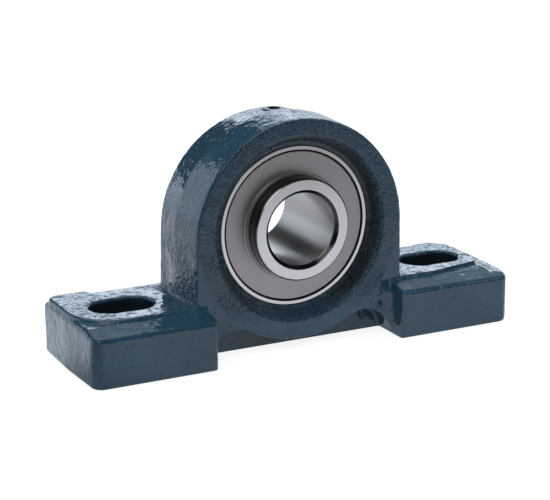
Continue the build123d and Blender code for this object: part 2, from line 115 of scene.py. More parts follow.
class CastingSettings(bpy.types.PropertyGroup):
    """Sizes and colours of the painted casting."""

    voxel: bpy.props.FloatProperty(
        name="Mesh Size", description="Edge length of the casting's mesh", default=0.33 * MM, unit="LENGTH")
    smoothing: bpy.props.IntProperty(
        name="Smoothing", description="Passes that round the casting's edges", default=4)
    triangles: bpy.props.IntProperty(
        name="Triangles", description="Triangles left after thinning the casting's mesh", default=170000)
    wave_size: bpy.props.FloatProperty(
        name="Wave Size", description="Width of the slow waves left by the sand mould", default=7 * MM,
        unit="LENGTH")
    wave_depth: bpy.props.FloatProperty(
        name="Wave Depth", description="Depth of those waves", default=0.09 * MM, unit="LENGTH")
    lump_size: bpy.props.FloatProperty(
        name="Lump Size", description="Width of the lumps of the cast skin", default=1.7 * MM, unit="LENGTH")
    lump_share: bpy.props.FloatProperty(
        name="Lump Share", description="Height of the lumps as a share of the wave depth", default=0.6)
    relief: bpy.props.FloatProperty(
        name="Paint Relief", description="Height of the paint's fine relief", default=0.16 * MM, unit="LENGTH")
    wrinkles: bpy.props.FloatProperty(
        name="Wrinkles", description="Wrinkles at the arch's roots, as a share of the relief", default=3.2)
    stipple: bpy.props.FloatProperty(
        name="Stipple", description="Stipple on the arch's faces, as a share of the relief", default=0.5)
    enamel: bpy.props.FloatVectorProperty(
        name="Enamel", description="Colour of the enamel", subtype="COLOR", size=3,
        default=(0.022, 0.072, 0.120))
    iron: bpy.props.FloatVectorProperty(
        name="Iron", description="Colour of the machined underside", subtype="COLOR", size=3,
        default=(0.36, 0.35, 0.34))
    # Near black: shade painted on the flush fitting, so that it looks like a shaded hole
    fitting: bpy.props.FloatVectorProperty(
        name="Fitting", description="Colour of the grease fitting", subtype="COLOR", size=3,
        default=(0.05, 0.047, 0.045))
    wire: bpy.props.FloatVectorProperty(
        name="Wire", description="Colour of the fitting's spring", subtype="COLOR", size=3,
        default=(0.5, 0.5, 0.52))


class InsertSettings(bpy.types.PropertyGroup):
    """Sizes and colours of the insert bearing."""

    segments: bpy.props.IntProperty(name="Segments", description="Steps round a turned piece", default=192)
    edge: bpy.props.FloatProperty(
        name="Edge Radius", description="Rounding of the inner ring's edges", default=0.12 * MM, unit="LENGTH")
    ring: bpy.props.FloatVectorProperty(
        name="Rings", description="Colour of the ground rings", subtype="COLOR", size=3,
        default=(0.74, 0.69, 0.69))
    flinger: bpy.props.FloatVectorProperty(
        name="Flingers", description="Colour of the flingers", subtype="COLOR", size=3,
        default=(0.435, 0.4, 0.4))
    screw: bpy.props.FloatVectorProperty(
        name="Set Screws", description="Colour of the blackened set screws", subtype="COLOR", size=3,
        default=(0.035, 0.034, 0.034))
    ball: bpy.props.FloatVectorProperty(
        name="Balls", description="Colour of the polished balls", subtype="COLOR", size=3,
        default=(0.75, 0.75, 0.77))
    cage: bpy.props.FloatVectorProperty(
        name="Cage", description="Colour of the pressed cage", subtype="COLOR", size=3, default=(0.5, 0.5, 0.5))
    rubber: bpy.props.FloatVectorProperty(
        name="Seals", description="Colour of the seals", subtype="COLOR", size=3, default=(0.012, 0.012, 0.013))
    thread_pitch: bpy.props.FloatProperty(
        name="Thread Pitch", description="Pitch of the set screws' thread", default=1.0 * MM, unit="LENGTH")


class StageSettings(bpy.types.PropertyGroup):
    """Camera, lamps and floor."""

    lens: bpy.props.FloatProperty(name="Lens", description="Focal length in millimetres", default=118.2)
    distance: bpy.props.FloatProperty(
        name="Distance", description="From the camera to the point it looks at", default=494.67 * MM,
        unit="LENGTH")
    azimuth: bpy.props.FloatProperty(
        name="Azimuth", description="Camera's turn round the object", default=math.radians(-27.236),
        subtype="ANGLE")
    elevation: bpy.props.FloatProperty(
        name="Elevation", description="Camera's height angle", default=math.radians(16.243), subtype="ANGLE")
    aim: bpy.props.FloatVectorProperty(
        name="Aim", description="Point the camera looks at", default=(-1.912 * MM, 0, 24.732 * MM), unit="LENGTH")
    ambient: bpy.props.FloatProperty(
        name="Ambient", description="Strength of the soft surrounding light", default=0.55)
    key: bpy.props.FloatProperty(name="Key Lamp", description="Power of the main lamp", default=1.6)
    floor: bpy.props.FloatProperty(name="Floor", description="How light the floor's paper is", default=0.35)
    floor_glow: bpy.props.FloatProperty(
        name="Floor Glow", description="What lifts the floor to white for the camera", default=0.85)
    front_shine: bpy.props.FloatProperty(
        name="Front Shine", description="How bright the floor in front shows in reflections", default=0.6)
    back_shine: bpy.props.FloatProperty(
        name="Back Shine", description="How bright the floor behind shows in reflections", default=1.1)
    panel_shine: bpy.props.FloatProperty(
        name="Panel Shine", description="How bright the panels behind show in reflections", default=3.5)
    shine: bpy.props.FloatVectorProperty(
        name="Shine", description="Tone of the reflections", subtype="COLOR", size=3, default=(0.78, 0.88, 1.0))


# Meshes

def new_object(name, mesh):
    """A linked object at the origin."""
    item = bpy.data.objects.new(name, mesh)
    bpy.context.scene.collection.objects.link(item)
    return item


def tidy_mesh(mesh, merge=1e-7):
    """Merges doubles and turns all faces outwards."""
    work = bmesh.new()
    work.from_mesh(mesh)
    bmesh.ops.remove_doubles(work, verts=work.verts, dist=merge)
    bmesh.ops.recalc_face_normals(work, faces=work.faces)
    work.to_mesh(mesh)
    work.free()


def bake(item):
    """Replaces an object's modifiers by their result."""
    graph = bpy.context.evaluated_depsgraph_get()
    mesh = bpy.data.meshes.new_from_object(item.evaluated_get(graph))
    old = item.data
    item.modifiers.clear()
    item.data = mesh
    mesh.name = item.name
    bpy.data.meshes.remove(old)


def shade(mesh, crease=math.radians(35)):
    """Smooth shading, with creases where faces meet at more than an angle."""
    mesh.polygons.foreach_set("use_smooth", [True] * len(mesh.polygons))
    mesh.set_sharp_from_angle(angle=crease)


def cut(item, tool):
    """Takes the tool's shape away from an object."""
    step = item.modifiers.new("cut", "BOOLEAN")
    step.operation = "DIFFERENCE"
    step.solver = "MANIFOLD"
    step.object = tool
    bake(item)
    bpy.data.objects.remove(tool)


def moved(item, matrix):
    """The object, with its mesh moved to its place."""
    item.data.transform(matrix)
    tidy_mesh(item.data)
    return item


def along_shaft(side=1):
    """From a piece turned round Z to the shaft's line: its +Z points to -Y, or to +Y for side -1."""
    return Matrix.Translation((0, 0, SHAFT_Z)) @ Matrix.Rotation(math.radians(90 * side), 4, "X")


def settle(item, matrix, body, slot, *nodes):
    """Puts a finished piece in place, ties it to its body and lets it stand for its CAD nodes."""
    moved(item, matrix)
    shade(item.data)
    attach(item, body)
    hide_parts(*nodes)


def millimetres(points):
    """Points of an outline, from millimetres to metres."""
    return [(a * MM, b * MM) for a, b in points]


def arc_points(radius, half, steps):
    """Points of an arc round the origin, up to half above it and below."""
    limit = math.asin(half / radius)
    return [(radius * math.cos(limit * k / steps), radius * math.sin(limit * k / steps))
            for k in range(-steps, steps + 1)]


def rounded(points, radii, steps=4, support=0.05 * MM, most=0.45):
    """An outline with rounded corners; straight runs get a point near each end, to shade flat."""
    line = []
    for i, (corner, radius) in enumerate(zip(points, radii)):
        here = Vector(corner)
        if radius <= 0 or i in (0, len(points) - 1):
            line.append(here)
            continue
        back, ahead = Vector(points[i - 1]) - here, Vector(points[i + 1]) - here
        half = back.angle(ahead) / 2
        reach = min(radius / math.tan(half), most * back.length, most * ahead.length)
        start, end = here + back.normalized() * reach, here + ahead.normalized() * reach
        for k in range(steps + 1):
            t = k / steps
            line.append(start * (1 - t) ** 2 + here * 2 * t * (1 - t) + end * t ** 2)
    full = [line[0]]
    for a, b in zip(line, line[1:]):
        gap = (b - a).length
        if gap > 4 * support:
            full += [a + (b - a) * (support / gap), b - (b - a) * (support / gap)]
        full.append(b)
    return [tuple(p) for p in full]


# Nodes

def link(tree, start, end):
    """Joins an output to an input."""
    tree.links.new(start, end)


def give(tree, slot, item):
    """Sets an input to a number, or joins a socket to it."""
    if isinstance(item, (int, float)):
        slot.default_value = item
    else:
        link(tree, item, slot)


def value_node(tree, operation, *inputs):
    """A Math node whose inputs are numbers or sockets; gives its output."""
    node = tree.nodes.new("ShaderNodeMath")
    node.operation = operation
    for slot, item in zip(node.inputs, inputs):
        give(tree, slot, item)
    return node.outputs[0]


def folded(tree, operation, first, *others):
    """One Math operation over a row of numbers or sockets."""
    for item in others:
        first = value_node(tree, operation, first, item)
    return first


def product(tree, *items):
    """The items multiplied."""
    return folded(tree, "MULTIPLY", *items)


def total(tree, *items):
    """The items added up."""
    return folded(tree, "ADD", *items)


def largest(tree, *items):
    """The largest of the items."""
    return folded(tree, "MAXIMUM", *items)


def absolute(tree, item):
    """The item without its sign."""
    return value_node(tree, "ABSOLUTE", item)


def minus(tree, a, b):
    """The first less the second."""
    return value_node(tree, "SUBTRACT", a, b)


def inverse(tree, mask):
    """A mask turned round."""
    return minus(tree, 1.0, mask)


def from_axis(tree, a, b):
    """How far a point lies from an axis, by its two offsets."""
    return value_node(tree, "SQRT", total(tree, product(tree, a, a), product(tree, b, b)))


def xyz(tree, vector):
    """The three parts of a vector."""
    node = tree.nodes.new("ShaderNodeSeparateXYZ")
    link(tree, vector, node.inputs[0])
    return [node.outputs[k] for k in "XYZ"]


def stretched(tree, vector, scale):
    """Coordinates scaled along each axis."""
    node = tree.nodes.new("ShaderNodeMapping")
    node.inputs["Scale"].default_value = scale
    link(tree, vector, node.inputs["Vector"])
    return node.outputs[0]


def noise_node(tree, vector, scale, detail=2.0, roughness=0.5, distortion=0.0):
    """A Noise texture's value, from numbers or sockets."""
    node = tree.nodes.new("ShaderNodeTexNoise")
    link(tree, vector, node.inputs["Vector"])
    for name, item in (("Scale", scale), ("Detail", detail), ("Roughness", roughness), ("Distortion", distortion)):
        give(tree, node.inputs[name], item)
    return node.outputs["Fac"]


def remap(tree, item, low, high, new_low=0.0, new_high=1.0):
    """A clamped Map Range with soft ends."""
    node = tree.nodes.new("ShaderNodeMapRange")
    node.interpolation_type = "SMOOTHSTEP"
    link(tree, item, node.inputs["Value"])
    for name, number in (("From Min", low), ("From Max", high), ("To Min", new_low), ("To Max", new_high)):
        node.inputs[name].default_value = number
    return node.outputs["Result"]


def even_mask(tree, item, new_low=0.0, new_high=1.0):
    """A noise's middle values spread over a range."""
    return remap(tree, item, 0.3, 0.7, new_low, new_high)


def band(tree, item, edges, new_low=0.0, new_high=1.0):
    """A mask over a length, from one edge to the other, in millimetres."""
    return remap(tree, item, *[edge * MM for edge in edges], new_low, new_high)


# A piece turned on a lathe

def turning_tree():
    """Geometry Nodes that turn the host mesh's line of (radius, 0, height) points round Z, and may thread it."""
    tree = bpy.data.node_groups.get("turned_piece")
    if tree:
        return tree
    tree = bpy.data.node_groups.new("turned_piece", "GeometryNodeTree")
    face = tree.interface
    for name, kind, default in (("Profile", "Geometry", None), ("Segments", "Int", 96),
                                ("Thread Radius", "Float", 0.0), ("Thread Pitch", "Float", 1.0),
                                ("Thread Depth", "Float", 0.0), ("Material", "Material", None)):
        socket = face.new_socket(name=name, in_out="INPUT", socket_type="NodeSocket" + kind)
        if default is not None:
            socket.default_value = default
    face.new_socket(name="Piece", in_out="OUTPUT", socket_type="NodeSocketGeometry")
    given = tree.nodes.new("NodeGroupInput").outputs

    # A grid: a row for each point of the profile, a column for each step round
    size = tree.nodes.new("GeometryNodeAttributeDomainSize")
    link(tree, given["Profile"], size.inputs["Geometry"])
    columns = total(tree, given["Segments"], 1)
    grid = tree.nodes.new("GeometryNodeMeshGrid")
    link(tree, size.outputs["Point Count"], grid.inputs["Vertices X"])
    link(tree, columns, grid.inputs["Vertices Y"])
    index = tree.nodes.new("GeometryNodeInputIndex").outputs[0]
    row = value_node(tree, "FLOOR", value_node(tree, "DIVIDE", total(tree, index, 0.5), columns))
    column = minus(tree, index, product(tree, row, columns))
    turn = value_node(tree, "DIVIDE", column, given["Segments"])
    sample = tree.nodes.new("GeometryNodeSampleIndex")
    sample.data_type = "FLOAT_VECTOR"
    link(tree, given["Profile"], sample.inputs["Geometry"])
    link(tree, tree.nodes.new("GeometryNodeInputPosition").outputs[0], sample.inputs["Value"])
    link(tree, row, sample.inputs["Index"])
    radius, _, height = xyz(tree, sample.outputs["Value"])

    # The thread's groove, where the profile lies at the thread's radius
    phase = minus(tree, value_node(tree, "DIVIDE", height, given["Thread Pitch"]), turn)
    wave = product(tree, value_node(tree, "PINGPONG", phase, 0.5), 2.0)
    on_thread = value_node(tree, "COMPARE", radius, given["Thread Radius"], 1e-6)
    dip = product(tree, wave, product(tree, on_thread, given["Thread Depth"]))
    radius = minus(tree, radius, dip)
    angle = product(tree, turn, 2 * math.pi)
    place = tree.nodes.new("ShaderNodeCombineXYZ")
    for operation, slot in (("COSINE", "X"), ("SINE", "Y")):
        link(tree, product(tree, radius, value_node(tree, operation, angle)), place.inputs[slot])
    link(tree, height, place.inputs["Z"])
    shape = tree.nodes.new("GeometryNodeSetPosition")
    link(tree, grid.outputs["Mesh"], shape.inputs["Geometry"])
    link(tree, place.outputs[0], shape.inputs["Position"])
    merge = tree.nodes.new("GeometryNodeMergeByDistance")
    merge.inputs["Distance"].default_value = 1e-7
    real = tree.nodes.new("GeometryNodeRealizeInstances")
    finish = tree.nodes.new("GeometryNodeSetMaterial")
    for start, end in zip((shape, merge, real), (merge, real, finish)):
        link(tree, start.outputs[0], end.inputs["Geometry"])
    link(tree, given["Material"], finish.inputs["Material"])
    link(tree, finish.outputs[0], tree.nodes.new("NodeGroupOutput").inputs["Piece"])
    return tree


def turned(name, profile, paint, segments, thread=(0.0, 1.0, 0.0)):
    """A piece turned round Z from (radius, height) points in metres; thread: radius, pitch and depth."""
    mesh = bpy.data.meshes.new(name)
    mesh.from_pydata([(r, 0, z) for r, z in profile], [(i, i + 1) for i in range(len(profile) - 1)], [])
    item = new_object(name, mesh)
    step = item.modifiers.new("turn", "NODES")
    step.node_group = turning_tree()
    values = dict(zip(("Segments", "Material", "Thread Radius", "Thread Pitch", "Thread Depth"),
                      (segments, paint, *thread)))
    for socket in step.node_group.interface.items_tree:
        if socket.item_type == "SOCKET" and socket.name in values:
            step[socket.identifier] = values[socket.name]
    bake(item)
    tidy_mesh(item.data)
    return item


# Shader node groups

def shader_group(name, inputs, outputs):
    """A shader node group of a vector and values; gives the tree, what it is given and its outputs."""
    tree = bpy.data.node_groups.new(name, "ShaderNodeTree")
    tree.interface.new_socket(name="Vector", in_out="INPUT", socket_type="NodeSocketVector")
    for label, default in inputs.items():
        tree.interface.new_socket(
            name=label, in_out="INPUT", socket_type="NodeSocketFloat").default_value = default
    for label in outputs:
        tree.interface.new_socket(name=label, in_out="OUTPUT", socket_type="NodeSocketFloat")
    return tree, tree.nodes.new("NodeGroupInput").outputs, tree.nodes.new("NodeGroupOutput").inputs


def skin_group():
    """Casting skin under paint: lumps, grain and pits, with wrinkles and stipple where their inputs say; its second
    output is shade painted into the gaps of the stipple, as in pits.
    """
    tree, given, out = shader_group(
        "casting_skin", {"Lump Density": 480.0, "Grain Density": 1300.0, "Wrinkle Density": 1150.0,
                         "Stipple Density": 1500.0, "Lumps": 1.0, "Grain": 0.35, "Wrinkles": 0.0, "Stipple": 0.0,
                         "Pit Depth": 1.5},
        ("Height", "Pit Shade"))
    where = given["Vector"]
    lumps = noise_node(tree, where, given["Lump Density"], 0.6, 0.4, 0.3)
    grain = noise_node(tree, where, given["Grain Density"], 0.5, 0.4)
    upright = stretched(tree, where, (1.0, 1.0, 0.45))
    wrinkle = noise_node(tree, upright, given["Wrinkle Density"], 1.5, 0.5, 0.6)
    ridge = inverse(tree, absolute(tree, product(tree, minus(tree, wrinkle, 0.5), 4.0)))
    stipple = remap(tree, noise_node(tree, where, given["Stipple Density"], 1.0, 0.5), 0.42, 0.62)
    height = total(tree, product(tree, lumps, given["Lumps"]), product(tree, grain, given["Grain"]),
                   product(tree, ridge, given["Wrinkles"]), product(tree, stipple, given["Stipple"]))
    pit = noise_node(tree, where, product(tree, given["Grain Density"], 0.55), 1.0, 0.4)
    pits = remap(tree, pit, 0.24, 0.3, 1.0, 0.0)
    link(tree, minus(tree, height, product(tree, pits, given["Pit Depth"])), out["Height"])
    link(tree, inverse(tree, stipple), out["Pit Shade"])
    return tree


def turning_marks_group():
    """Fine lines round the shaft's axis, as grinding and turning leave them."""
    if "turning_marks" in bpy.data.node_groups:
        return bpy.data.node_groups["turning_marks"]
    tree, given, out = shader_group(
        "turning_marks", {"Density": 6000.0, "Smudge": 120.0}, ("Lines", "Smudges", "Radius"))
    x, y, z = xyz(tree, given["Vector"])
    radius = from_axis(tree, x, minus(tree, z, SHAFT_Z))
    flat = tree.nodes.new("ShaderNodeCombineXYZ")
    link(tree, radius, flat.inputs["X"])
    link(tree, y, flat.inputs["Y"])
    link(tree, noise_node(tree, flat.outputs[0], given["Density"], 3.0, 0.6), out["Lines"])
    link(tree, noise_node(tree, given["Vector"], given["Smudge"], 3.0, 0.55), out["Smudges"])
    link(tree, radius, out["Radius"])
    return tree


# Materials

def material(name, metallic=0.0):
    """A new material, its tree, its Principled BSDF and its Object coordinates."""
    item = bpy.data.materials.new(name)
    item.use_nodes = True
    tree = item.node_tree
    shader = tree.nodes["Principled BSDF"]
    shader.inputs["Metallic"].default_value = metallic
    where = tree.nodes.new("ShaderNodeTexCoord").outputs["Object"]
    return item, tree, shader, where


def group_node(tree, group, vector, **values):
    """Places a shader node group, with its own values."""
    node = tree.nodes.new("ShaderNodeGroup")
    node.node_tree = group
    link(tree, vector, node.inputs["Vector"])
    for name, item in values.items():
        give(tree, node.inputs[name], item)
    return node.outputs


def bump(tree, shader, height, distance):
    """Feeds a height in as the shader's normal."""
    node = tree.nodes.new("ShaderNodeBump")
    node.inputs["Distance"].default_value = distance
    link(tree, height, node.inputs["Height"])
    link(tree, node.outputs[0], shader.inputs["Normal"])


def mix_colour(tree, mask, under, over):
    """Two colours mixed by a mask; the lower one may be a socket."""
    node = tree.nodes.new("ShaderNodeMix")
    node.data_type = "RGBA"
    if isinstance(under, bpy.types.NodeSocket):
        link(tree, under, node.inputs["A"])
    else:
        node.inputs["A"].default_value = (*under, 1)
    node.inputs["B"].default_value = (*over, 1)
    link(tree, mask, node.inputs["Factor"])
    return node.outputs["Result"]


def tint(tree, colour, mask, low, high):
    """The colour, made darker and lighter by a mask."""
    return mix_colour(tree, mask, [c * low for c in colour], [min(1.0, c * high) for c in colour])


def casting_masks(tree, where, drift):
    """The casting's masks: wrinkled roots, stippled faces, how much shade is painted into their pits, and shade
    painted in the slots, the recess and the fitting's hole.
    """
    x, y, z = xyz(tree, where)
    aside, depth = absolute(tree, x), absolute(tree, y)
    root = product(tree, band(tree, z, ROOT_HEIGHT), band(tree, depth, ROOT_DEPTH), band(tree, aside, ROOT_SIDE),
                   band(tree, z, ROOT_FOOT), remap(tree, drift, 0.33, 0.52))
    from_shaft = from_axis(tree, x, minus(tree, z, SHAFT_Z))
    ring_face = product(tree, band(tree, from_shaft, RING_FACE_R), band(tree, depth, RING_FACE_DEPTH),
                        band(tree, z, RING_FACE_HEIGHT), remap(tree, drift, 0.35, 0.55, 0.4, 1.0))
    stippled = largest(tree, ring_face, band(tree, from_shaft, RECESS_R))
    pit_shade_share = band(tree, x, PIT_SHADE_SIDE, 0.95, 0.6)
    # Shade painted into the bolt slots, the recess (most on its right side) and the fitting's hole
    along_slot = absolute(tree, minus(tree, aside, SLOT_X * MM))
    slot_painted_shade = product(tree, band(tree, along_slot, SLOT_ALONG), band(tree, depth, SLOT_ACROSS),
                      band(tree, z, SLOT_HEIGHT))
    recess_painted_shade = product(tree, band(tree, from_shaft, SHADED_R), band(tree, x, SHADED_SIDE, 0.35, 0.95))
    from_fitting = from_axis(tree, x, minus(tree, y, FITTING_Y))
    fitting_hole_painted_shade = product(tree, band(tree, from_fitting, FITTING_R), band(tree, z, FITTING_HEIGHT))
    return root, stippled, pit_shade_share, largest(tree, slot_painted_shade, recess_painted_shade, fitting_hole_painted_shade)


def enamel_material(settings):
    """Glossy enamel that follows the rough skin of a sand casting, with shade painted in as a darker colour in the
    slots, the recess, the fitting's hole and the stipple's pits.
    """
    item, tree, shader, where = material("glossy_enamel")
    drift = noise_node(tree, where, 90.0)
    root, stippled, pit_shade_share, painted_shade = casting_masks(tree, where, drift)
    skin = group_node(tree, skin_group(), where, Grain=remap(tree, drift, 0.35, 0.62, 0.15, 0.6),
                      Wrinkles=product(tree, root, settings.wrinkles),
                      Stipple=product(tree, stippled, settings.stipple))
    bump(tree, shader, skin["Height"], settings.relief)
    # Painted shade: these places and the stipple's pits go towards a darker enamel
    painted_shade_mix = largest(tree, painted_shade, product(tree, stippled, skin["Pit Shade"], pit_shade_share))
    paint = tint(tree, settings.enamel, even_mask(tree, drift), 0.85, 1.15)
    link(tree, mix_colour(tree, painted_shade_mix, paint, [0.15 * c for c in settings.enamel]), shader.inputs["Base Color"])
    shader.inputs["IOR"].default_value = 1.6
    gloss = even_mask(tree, drift, 0.05, 0.1)
    link(tree, total(tree, gloss, product(tree, painted_shade_mix, 0.3)), shader.inputs["Roughness"])
    return item


def iron_material(settings):
    """Milled grey iron on the underside."""
    item, tree, shader, where = material("machined_iron", 1.0)
    lines = noise_node(tree, stretched(tree, where, (0.05, 1.0, 1.0)), 2500.0, 3.0, 0.6)
    stain = noise_node(tree, where, 150.0, 3.0)
    link(tree, tint(tree, settings.iron, stain, 0.7, 1.15), shader.inputs["Base Color"])
    link(tree, even_mask(tree, lines, 0.35, 0.55), shader.inputs["Roughness"])
    bump(tree, shader, lines, 0.01 * MM)
    return item


def inner_ring_bands(tree, where, marks, paint, rough):
    """An inner ring's finish over its steel: a honed bore, and shade painted on its chamfer and, blacker, on its
    outside in front, lighter along the turning lines.
    """
    radius = marks["Radius"]
    bore = band(tree, radius, BORE_BAND)
    chamfer = minus(tree, band(tree, radius, CHAMFER_BAND), bore)
    streaks = remap(tree, marks["Lines"], 0.5, 0.62, 0.04, 0.3)
    outside = product(tree, band(tree, radius, OUTSIDE_BAND), band(tree, xyz(tree, where)[1], FRONT_BAND, 0.25, 1.0),
                      inverse(tree, streaks))
    # Painted shade on the chamfer and, nearly black, on the outside in front; a grey honed bore
    painted_shade, honed, painted_outside_shade = (0.06, 0.06, 0.06), (0.40, 0.375, 0.37), (0.02, 0.02, 0.02)
    for mask, colour in ((chamfer, painted_shade), (bore, honed), (outside, painted_outside_shade)):
        paint = mix_colour(tree, mask, paint, colour)
    return paint, total(tree, rough, product(tree, bore, 0.1))


def ring_material(name, colour, roughness, line_depth=0.004 * MM, bands=False):
    """Ground or turned steel with fine lines round the shaft, and an inner ring's bands, partly painted shade, if
    asked for.
    """
    item, tree, shader, where = material(name, 1.0)
    marks = group_node(tree, turning_marks_group(), where)
    paint = tint(tree, colour, marks["Smudges"], 0.92, 1.08)
    rough = even_mask(tree, marks["Lines"], roughness * 0.8, roughness * 1.25)
    if bands:
        paint, rough = inner_ring_bands(tree, where, marks, paint, rough)
    link(tree, paint, shader.inputs["Base Color"])
    link(tree, rough, shader.inputs["Roughness"])
    bump(tree, shader, marks["Lines"], line_depth)
    return item


def sheet_material(name, colour, roughness):
    """Rolled sheet steel with a fine satin grain."""
    item, tree, shader, where = material(name, 1.0)
    grain = noise_node(tree, where, 4500.0, 3.0, 0.6)
    cloud = noise_node(tree, where, 110.0, 3.0)
    link(tree, tint(tree, colour, cloud, 0.93, 1.07), shader.inputs["Base Color"])
    link(tree, even_mask(tree, grain, roughness * 0.85, roughness * 1.2), shader.inputs["Roughness"])
    bump(tree, shader, grain, 0.006 * MM)
    return item


def rubber_material(colour):
    """Matt black seal rubber."""
    item, tree, shader, where = material("seal_rubber")
    grain = noise_node(tree, where, 3000.0)
    link(tree, tint(tree, colour, grain, 0.8, 1.3), shader.inputs["Base Color"])
    link(tree, even_mask(tree, grain, 0.55, 0.7), shader.inputs["Roughness"])
    bump(tree, shader, grain, 0.01 * MM)
    return item


def repaint(paint, *nodes):
    """Gives CAD nodes a finished material."""
    for name in nodes:
        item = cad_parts[name]
        if not item.material_slots:
            item.data.materials.append(paint)
        for slot in item.material_slots:
            slot.material = paint


# The casting

def seat_tool():
    """The insert's free space in the housing: the spherical seat and a recess before each side."""
    shoulder = SEAT_HALF + RECESS_STEP
    slope = (RECESS_MOUTH_R - RECESS_SHOULDER_R) / (FACE_Y - shoulder)
    side = [(RECESS_SHOULDER_R, shoulder), (RECESS_MOUTH_R, FACE_Y),
            (RECESS_MOUTH_R + slope * BEYOND, FACE_Y + BEYOND), (0, FACE_Y + BEYOND)]
    outline = [(r, -z) for r, z in reversed(side)] + arc_points(SEAT_R, SEAT_HALF, steps=16) + side
    return moved(turned("seat_tool", millimetres(outline), None, segments=192), along_shaft())


def plug_tool():
    """What fills the seat while the casting's skin is made, so that it can be cut true afterwards."""
    face = FACE_Y - PLUG_SHORT
    side = [(PLUG_MIDDLE_R, PLUG_MIDDLE_HALF), (PLUG_R, PLUG_MIDDLE_HALF + PLUG_STEP), (PLUG_R, face), (0, face)]
    outline = [(r, -z) for r, z in reversed(side)] + side
    return moved(turned("plug", millimetres(outline), None, segments=96), along_shaft())


def passage_tool():
    """The drilled passage from the grease fitting's hole to the seat."""
    low, high = SEAT_R - 2, PLUG_MIDDLE_R + 0.4
    outline = ((0, low), (PASSAGE_R, low), (PASSAGE_R, high), (0, high))
    return moved(turned("passage_tool", millimetres(outline), None, segments=32),
                 Matrix.Translation((0, FITTING_Y, SHAFT_Z)))


def prism(name, outline, low, high):
    """A closed block along Z over an outline of (x, y) points, in millimetres."""
    count = len(outline)
    points = [(x * MM, y * MM, z * MM) for z in (low, high) for x, y in outline]
    faces = [tuple(range(count)), tuple(range(count, 2 * count))]
    faces += [(i, (i + 1) % count, (i + 1) % count + count, i + count) for i in range(count)]
    mesh = bpy.data.meshes.new(name)
    mesh.from_pydata(points, [], faces)
    tidy_mesh(mesh)
    return new_object(name, mesh)


def loading_tool():
    """The two slots behind the seat, through which the insert goes in on edge."""
    side = arc_points(SEAT_R + LOADING_ROOM, LOADING_HALF, steps=12)
    return moved(prism("loading_tool", side + [(-x, -z) for x, z in side], -FACE_Y - BEYOND, 0), along_shaft())


def pad_tools():
    """What the pattern leaves off the right foot: its pad ends in a slant, and the foot is level beyond it."""
    beyond_x, beyond_y, height = 66, 20, 3
    pad_z, foot_z = 14.75, 14.1
    end = [(58.6, -8.3), (60.2, -6.8), (59.6, 7.0), (57.2, 12.9), (55.6, 13.7)]
    around = [(50.4, 13.7), (50.4, beyond_y), (beyond_x, beyond_y), (beyond_x, -beyond_y), (38, -beyond_y),
              (38, -12.4)]
    level = [*end, (55.6, beyond_y), (beyond_x, beyond_y), (beyond_x, -beyond_y), (58.6, -beyond_y)]
    return prism("pad_slant", end + around, pad_z, pad_z + height), prism("foot_level", level, foot_z, foot_z + height)


class CASTING_OT_housing(bpy.types.Operator):
    """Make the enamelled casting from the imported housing"""

    bl_idname = "pillow.housing"
    bl_label = "Housing"

    def execute(self, context):
        settings = context.scene.pillow_casting
        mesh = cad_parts["housing"].data.copy()
        tidy_mesh(mesh, 1e-6)
        item = new_object("casting", mesh)
        plug = plug_tool()
        with context.temp_override(active_object=item, selected_editable_objects=[item, plug]):
            bpy.ops.object.join()
        step = item.modifiers.new("remesh", "REMESH")
        step.mode = "VOXEL"
        step.voxel_size = settings.voxel
        bake(item)
        for tool in pad_tools():
            cut(item, tool)
        step = item.modifiers.new("smooth", "SMOOTH")
        step.factor = 0.5
        step.iterations = settings.smoothing
        bake(item)
        self.wave(item.data, settings)
        step = item.modifiers.new("thin", "DECIMATE")
        step.ratio = min(1.0, settings.triangles / (2 * len(item.data.polygons)))
        bake(item)
        self.keep_inside(item.data)
        for tool in (seat_tool(), loading_tool(), passage_tool()):
            cut(item, tool)
        item.data.materials.clear()
        item.data.materials.append(enamel_material(settings))
        item.data.materials.append(iron_material(settings))
        down, level = -0.98, 0.05 * MM
        for face in item.data.polygons:
            face.material_index = int(face.normal.z < down and face.center.z < level)
        settle(item, Matrix(), "housing", "cast_enamel", "housing")
        return {"FINISHED"}

    @staticmethod
    def wave(mesh, settings, finer=0.45, finer_share=0.5, level=0.3 * MM, rise=2 * MM):
        """Slow waves and lumps of the mould, which set in above a level: the underside stays true."""
        normals = [vertex.normal.copy() for vertex in mesh.vertices]
        for vertex, out in zip(mesh.vertices, normals):
            at = vertex.co
            swell = noise.noise(at / settings.wave_size)
            swell += finer_share * noise.noise(at / (finer * settings.wave_size))
            swell += settings.lump_share * noise.noise(at / settings.lump_size)
            keep = min(1.0, max(0.0, (at.z - level) / rise))
            vertex.co = at + out * (swell * settings.wave_depth * keep)

    @staticmethod
    def keep_inside(mesh):
        """Brings what the waves lifted out of the solid's box back."""
        for vertex in mesh.vertices:
            vertex.co = [min(max(c, low), high) for c, low, high in zip(vertex.co, *cad_box)]


